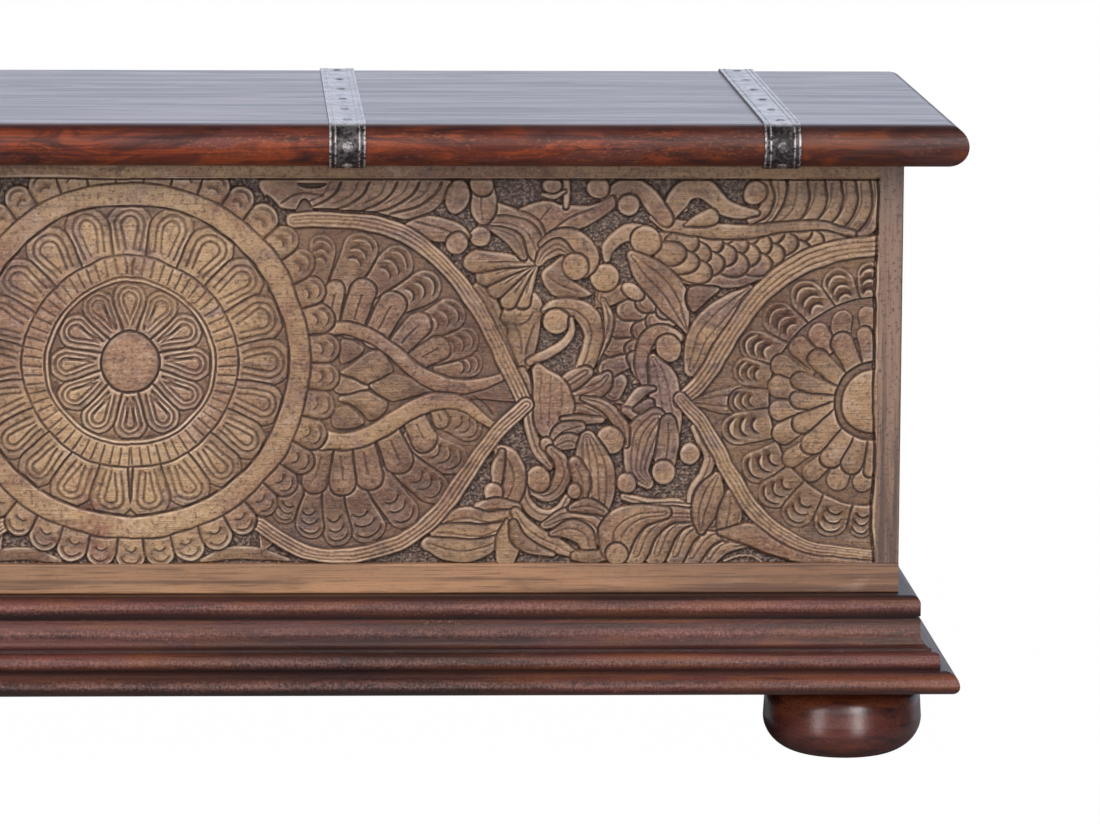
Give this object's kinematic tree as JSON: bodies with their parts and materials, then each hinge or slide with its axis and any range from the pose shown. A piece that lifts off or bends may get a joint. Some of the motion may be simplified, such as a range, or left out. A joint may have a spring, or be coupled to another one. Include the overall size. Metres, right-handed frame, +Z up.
{
  "type": "carved storage chest",
  "caption": "Low wooden storage chest on bun feet: front carved in relief, moulded plinth, planked lid bound with iron straps and hinged at the back.",
  "frame": {"origin": "on the floor under the middle of the chest, at the soles of the feet", "axes": "+X runs along the chest to its right end as seen from the front, +Y to its back, +Z up"},
  "size_m": [1.197, 0.4552, 0.4704],
  "materials": {
    "carved_wood": "worn mid-brown hardwood, carved in low relief, dark wax left in the cuts",
    "case_wood": "plain mid-brown hardwood with a soft wax finish",
    "dark_wood": "dark red-brown hardwood, polished, with fine scratches",
    "inner_wood": "bare sawn hardwood",
    "strap_iron": "pressed and forged iron, rubbed bright on top and dark on the edge",
    "hinge_iron": "dark iron"
  },
  "bodies": {
    "case": {"back_bottom_rail": "case_wood", "back_panel": "case_wood", "bun_foot_back_left": "dark_wood", "bun_foot_back_right": "dark_wood", "bun_foot_front_left": "dark_wood", "bun_foot_front_right": "dark_wood", "corner_block_back_left": "inner_wood", "corner_block_back_right": "inner_wood", "corner_block_front_left": "inner_wood", "corner_block_front_right": "inner_wood", "corner_post_back_left": "case_wood", "corner_post_back_right": "case_wood", "corner_post_front_left": "case_wood", "corner_post_front_right": "case_wood", "floor_bearer_left": "inner_wood", "floor_bearer_right": "inner_wood", "floor_board_back": "inner_wood", "floor_board_front": "inner_wood", "floor_board_middle": "inner_wood", "front_bottom_rail": "case_wood", "front_carved_board": "carved_wood", "hinge_case_leaf_left": "hinge_iron", "hinge_case_leaf_middle": "hinge_iron", "hinge_case_leaf_right": "hinge_iron", "hinge_case_screws": "hinge_iron", "hinge_pins": "hinge_iron", "left_bottom_rail": "case_wood", "left_side_panel": "case_wood", "plinth_base_back": "dark_wood", "plinth_base_front": "dark_wood", "plinth_base_left": "dark_wood", "plinth_base_right": "dark_wood", "plinth_bead_back": "dark_wood", "plinth_bead_front": "dark_wood", "plinth_bead_left": "dark_wood", "plinth_bead_right": "dark_wood", "plinth_cove_back": "dark_wood", "plinth_cove_front": "dark_wood", "plinth_cove_left": "dark_wood", "plinth_cove_right": "dark_wood", "right_bottom_rail": "case_wood", "right_side_panel": "case_wood"},
    "lid": {"batten_screws": "hinge_iron", "hinge_lid_leaf_left": "hinge_iron", "hinge_lid_leaf_middle": "hinge_iron", "hinge_lid_leaf_right": "hinge_iron", "hinge_lid_screws": "hinge_iron", "lid_batten_left": "inner_wood", "lid_batten_middle": "inner_wood", "lid_batten_right": "inner_wood", "lid_plank_1": "dark_wood", "lid_plank_2": "dark_wood", "lid_plank_3": "dark_wood", "lid_plank_4": "dark_wood", "lid_strap_1": "strap_iron", "lid_strap_2": "strap_iron", "lid_strap_3": "strap_iron", "lid_strap_4": "strap_iron", "strap_nails": "strap_iron"}
  },
  "joints": [
    {"name": "lid_hinge", "type": "hinge", "parent": "case", "child": "lid", "pos_m": [0, 0.1875, 0.4373], "axis": [-1, 0, 0], "range_deg": [0, 95]}
  ]
}
